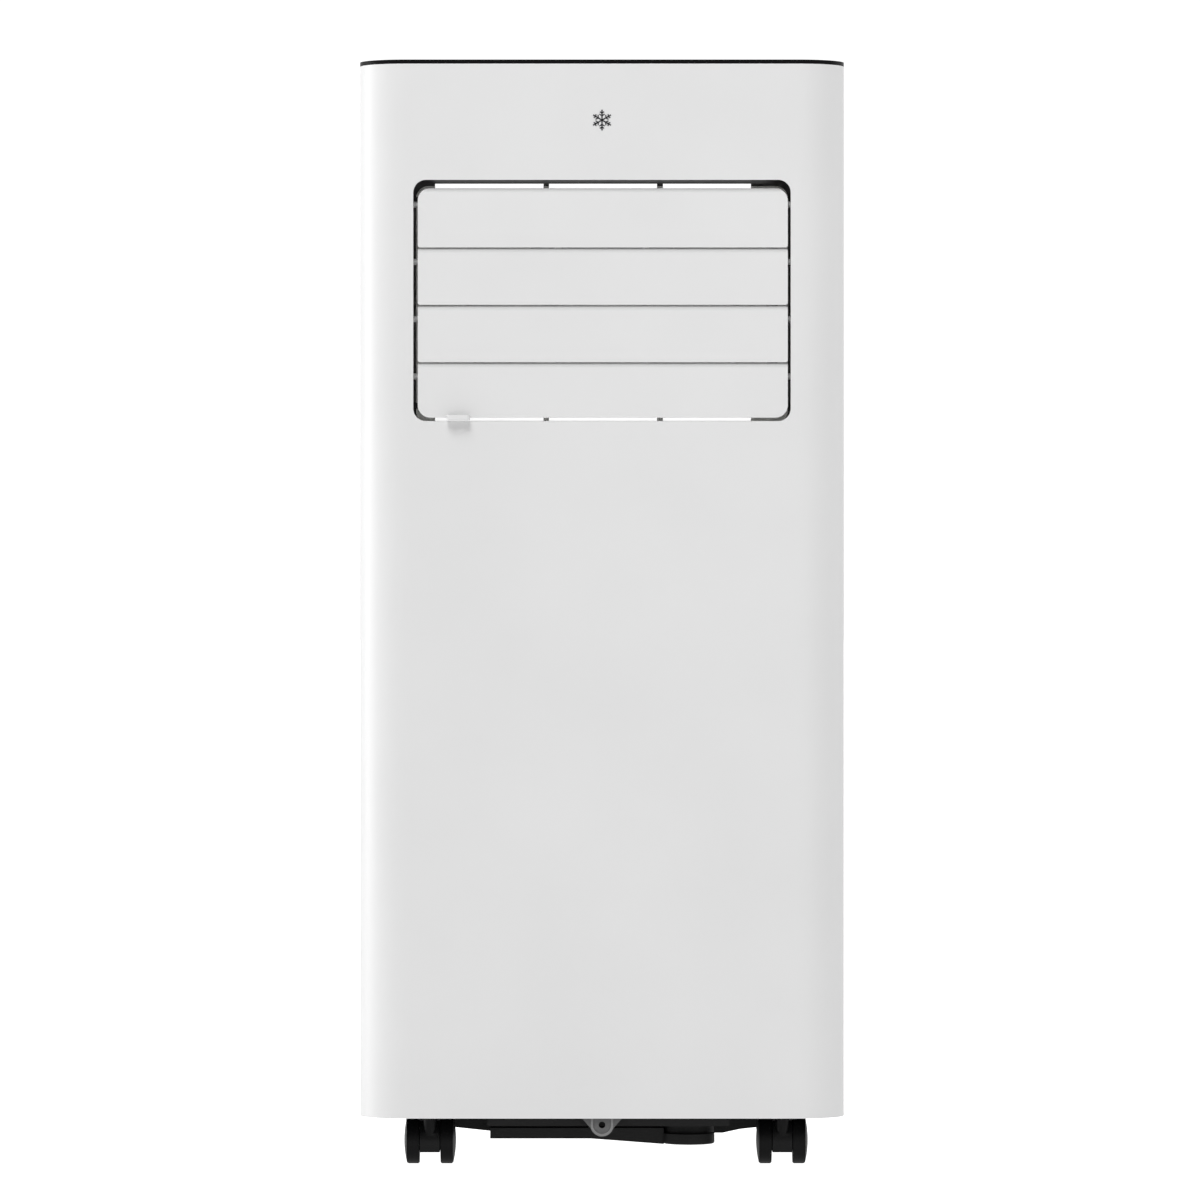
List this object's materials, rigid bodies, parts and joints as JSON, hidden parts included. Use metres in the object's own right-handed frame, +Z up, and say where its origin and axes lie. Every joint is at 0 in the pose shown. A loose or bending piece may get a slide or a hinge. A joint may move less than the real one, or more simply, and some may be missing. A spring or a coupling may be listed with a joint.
{
  "type": "portable air conditioner",
  "caption": "Free-standing portable air conditioner: tall white casing on black casters, louvred front outlet, black top with keys, rear intakes and hose collar.",
  "frame": {"origin": "on the floor, under the middle of the overall bounding box", "axes": "+Z up, the louvred front faces -Y, +X to the right as seen from the front"},
  "size_m": [0.307, 0.322, 0.7],
  "materials": {
    "white_shell": "fine satin moulded ABS, white",
    "white_louvre": "satin moulded ABS, white",
    "white_grille": "satin moulded ABS, white",
    "white_rail": "satin moulded polypropylene, white",
    "black_top": "polished black acrylic-faced ABS",
    "smoked_window": "smoked polished acrylic",
    "key_plastic": "satin dark grey",
    "black_base": "fine textured black polypropylene",
    "black_caster": "satin black nylon",
    "caster_tread": "satin black nylon wheels",
    "grey_lug": "grey moulded plastic",
    "dark_frame": "matte dark grey",
    "circuit_board": "solder-masked laminate",
    "foam_housing": "moulded white polystyrene",
    "dark_housing": "dark glass-filled plastic",
    "motor_steel": "zinc-plated sheet steel",
    "coil_aluminium": "thin bright fins",
    "copper_pipe": "drawn copper tube",
    "compressor_paint": "baked black enamel",
    "black_rubber": "matte rubber",
    "float_plastic": "natural polypropylene",
    "capacitor_can": "drawn can",
    "filter_screen": "fine nylon screen in a dark frame",
    "screw_steel": "zinc-plated steel"
  },
  "bodies": {
    "casing": {"front_shell": "white_shell", "rear_shell": "white_shell", "top_panel": "black_top", "base_pan": "black_base", "fixing_lug": "grey_lug", "display_window": "smoked_window", "control_board": "circuit_board", "outlet_frame": "dark_frame", "vane_rails": "white_rail", "evaporator_scroll": "foam_housing", "evaporator_motor": "motor_steel", "evaporator_coil": "coil_aluminium", "partition_tray": "foam_housing", "condenser_scroll": "dark_housing", "condenser_motor": "motor_steel", "condenser_coil": "coil_aluminium", "exhaust_duct": "foam_housing", "compressor": "compressor_paint", "compressor_grommets": "black_rubber", "refrigerant_pipes": "copper_pipe", "splash_motor": "motor_steel", "float_switch": "float_plastic", "electrical_box": "motor_steel", "run_capacitors": "capacitor_can", "handle_cups": "white_grille", "cable_gland": "black_rubber", "housing_screws": "screw_steel"},
    "key_power": {"key_power": "key_plastic"},
    "key_mode": {"key_mode": "key_plastic"},
    "key_fan": {"key_fan": "key_plastic"},
    "key_up": {"key_up": "key_plastic"},
    "key_down": {"key_down": "key_plastic"},
    "louvre_4": {"louvre_4": "white_louvre"},
    "louvre_1": {"louvre_1": "white_louvre"},
    "louvre_2": {"louvre_2": "white_louvre"},
    "louvre_3": {"louvre_3": "white_louvre"},
    "louvre_link": {"louvre_link": "white_louvre"},
    "vane_1": {"vane_1": "white_rail"},
    "vane_2": {"vane_2": "white_rail"},
    "vane_3": {"vane_3": "white_rail"},
    "vane_4": {"vane_4": "white_rail"},
    "vane_link": {"vane_link": "white_rail"},
    "evaporator_blower": {"evaporator_blower": "dark_housing"},
    "condenser_blower": {"condenser_blower": "dark_housing"},
    "splash_wheel": {"splash_wheel": "dark_housing"},
    "float": {"float": "float_plastic"},
    "upper_intake": {"upper_grille": "white_grille", "upper_filter": "filter_screen"},
    "lower_intake": {"lower_grille": "white_grille", "lower_filter": "filter_screen"},
    "upper_drain_plug": {"upper_drain_plug": "black_rubber"},
    "lower_drain_plug": {"lower_drain_plug": "black_rubber"},
    "caster_front_left": {"caster_front_left": "black_caster"},
    "wheels_front_left": {"wheels_front_left": "caster_tread"},
    "caster_front_right": {"caster_front_right": "black_caster"},
    "wheels_front_right": {"wheels_front_right": "caster_tread"},
    "caster_rear_left": {"caster_rear_left": "black_caster"},
    "wheels_rear_left": {"wheels_rear_left": "caster_tread"},
    "caster_rear_right": {"caster_rear_right": "black_caster"},
    "wheels_rear_right": {"wheels_rear_right": "caster_tread"}
  },
  "joints": [
    {"name": "press_power", "type": "slide", "parent": "casing", "child": "key_power", "axis": [0, 0, -1], "range_m": [0, 0.0008], "stiffness_N_per_m": 300, "springref_m": -0.0006},
    {"name": "press_mode", "type": "slide", "parent": "casing", "child": "key_mode", "axis": [0, 0, -1], "range_m": [0, 0.0008], "stiffness_N_per_m": 300, "springref_m": -0.0006},
    {"name": "press_fan", "type": "slide", "parent": "casing", "child": "key_fan", "axis": [0, 0, -1], "range_m": [0, 0.0008], "stiffness_N_per_m": 300, "springref_m": -0.0006},
    {"name": "press_up", "type": "slide", "parent": "casing", "child": "key_up", "axis": [0, 0, -1], "range_m": [0, 0.0008], "stiffness_N_per_m": 300, "springref_m": -0.0006},
    {"name": "press_down", "type": "slide", "parent": "casing", "child": "key_down", "axis": [0, 0, -1], "range_m": [0, 0.0008], "stiffness_N_per_m": 300, "springref_m": -0.0006},
    {"name": "louvre_4_tilt", "type": "hinge", "parent": "casing", "child": "louvre_4", "pos_m": [0, -0.1455, 0.5004], "axis": [-1, 0, 0], "range_deg": [0, 75]},
    {"name": "louvre_1_tilt", "type": "hinge", "parent": "casing", "child": "louvre_1", "pos_m": [0, -0.1455, 0.609], "axis": [-1, 0, 0], "range_deg": [0, 75]},
    {"name": "louvre_2_tilt", "type": "hinge", "parent": "casing", "child": "louvre_2", "pos_m": [0, -0.1455, 0.5728], "axis": [-1, 0, 0], "range_deg": [0, 75]},
    {"name": "louvre_3_tilt", "type": "hinge", "parent": "casing", "child": "louvre_3", "pos_m": [0, -0.1455, 0.5366], "axis": [-1, 0, 0], "range_deg": [0, 75]},
    {"name": "louvre_link_swing", "type": "hinge", "parent": "louvre_4", "child": "louvre_link", "pos_m": [0, -0.1325, 0.5084], "axis": [-1, 0, 0], "range_deg": [-75, 0]},
    {"name": "vane_1_swing", "type": "hinge", "parent": "casing", "child": "vane_1", "pos_m": [-0.084, -0.112, 0.5481], "axis": [0, 0, 1], "range_deg": [-35, 35]},
    {"name": "vane_2_swing", "type": "hinge", "parent": "casing", "child": "vane_2", "pos_m": [-0.028, -0.112, 0.5481], "axis": [0, 0, 1], "range_deg": [-35, 35]},
    {"name": "vane_3_swing", "type": "hinge", "parent": "casing", "child": "vane_3", "pos_m": [0.028, -0.112, 0.5481], "axis": [0, 0, 1], "range_deg": [-35, 35]},
    {"name": "vane_4_swing", "type": "hinge", "parent": "casing", "child": "vane_4", "pos_m": [0.084, -0.112, 0.5481], "axis": [0, 0, 1], "range_deg": [-35, 35]},
    {"name": "vane_link_swing", "type": "hinge", "parent": "vane_1", "child": "vane_link", "pos_m": [-0.084, -0.094, 0.5461], "axis": [0, 0, 1], "range_deg": [-35, 35]},
    {"name": "evaporator_blower_spin", "type": "hinge", "parent": "casing", "child": "evaporator_blower", "pos_m": [0, 0, 0.573], "axis": [0, 1, 0], "continuous": true},
    {"name": "condenser_blower_spin", "type": "hinge", "parent": "casing", "child": "condenser_blower", "pos_m": [0, 0, 0.192], "axis": [0, 1, 0], "continuous": true},
    {"name": "splash_wheel_spin", "type": "hinge", "parent": "casing", "child": "splash_wheel", "pos_m": [-0.04, 0.1, 0.066], "axis": [0, 1, 0], "continuous": true},
    {"name": "float_rise", "type": "slide", "parent": "casing", "child": "float", "axis": [0, 0, 1], "range_m": [0, 0.01]},
    {"name": "upper_grille_tilt", "type": "hinge", "parent": "casing", "child": "upper_intake", "pos_m": [0, 0.1416, 0.4758], "axis": [-1, 0, 0], "range_deg": [0, 35]},
    {"name": "lower_grille_tilt", "type": "hinge", "parent": "casing", "child": "lower_intake", "pos_m": [0, 0.1416, 0.0818], "axis": [-1, 0, 0], "range_deg": [0, 35]},
    {"name": "upper_drain_plug_pull", "type": "slide", "parent": "casing", "child": "upper_drain_plug", "axis": [0, 1, 0], "range_m": [0, 0.014]},
    {"name": "lower_drain_plug_pull", "type": "slide", "parent": "casing", "child": "lower_drain_plug", "axis": [0, 1, 0], "range_m": [0, 0.014]},
    {"name": "swivel_front_left", "type": "hinge", "parent": "casing", "child": "caster_front_left", "pos_m": [-0.1095, -0.1146, 0.045], "axis": [0, 0, 1], "continuous": true},
    {"name": "roll_front_left", "type": "hinge", "parent": "caster_front_left", "child": "wheels_front_left", "pos_m": [-0.1095, -0.104, 0.0155], "axis": [1, 0, 0], "continuous": true},
    {"name": "swivel_front_right", "type": "hinge", "parent": "casing", "child": "caster_front_right", "pos_m": [0.1147, -0.1146, 0.045], "axis": [0, 0, 1], "continuous": true},
    {"name": "roll_front_right", "type": "hinge", "parent": "caster_front_right", "child": "wheels_front_right", "pos_m": [0.1147, -0.104, 0.0155], "axis": [1, 0, 0], "continuous": true},
    {"name": "swivel_rear_left", "type": "hinge", "parent": "casing", "child": "caster_rear_left", "pos_m": [-0.1135, 0.0724, 0.045], "axis": [0, 0, 1], "continuous": true},
    {"name": "roll_rear_left", "type": "hinge", "parent": "caster_rear_left", "child": "wheels_rear_left", "pos_m": [-0.1135, 0.083, 0.0155], "axis": [1, 0, 0], "continuous": true},
    {"name": "swivel_rear_right", "type": "hinge", "parent": "casing", "child": "caster_rear_right", "pos_m": [0.1185, 0.0724, 0.045], "axis": [0, 0, 1], "continuous": true},
    {"name": "roll_rear_right", "type": "hinge", "parent": "caster_rear_right", "child": "wheels_rear_right", "pos_m": [0.1185, 0.083, 0.0155], "axis": [1, 0, 0], "continuous": true}
  ],
  "couplings": [
    {"joint": "louvre_1_tilt", "follows": "louvre_4_tilt", "ratio": 1},
    {"joint": "louvre_2_tilt", "follows": "louvre_4_tilt", "ratio": 1},
    {"joint": "louvre_3_tilt", "follows": "louvre_4_tilt", "ratio": 1},
    {"joint": "louvre_link_swing", "follows": "louvre_4_tilt", "ratio": -1},
    {"joint": "vane_2_swing", "follows": "vane_1_swing", "ratio": 1},
    {"joint": "vane_3_swing", "follows": "vane_1_swing", "ratio": 1},
    {"joint": "vane_4_swing", "follows": "vane_1_swing", "ratio": 1},
    {"joint": "vane_link_swing", "follows": "vane_1_swing", "ratio": -1}
  ]
}
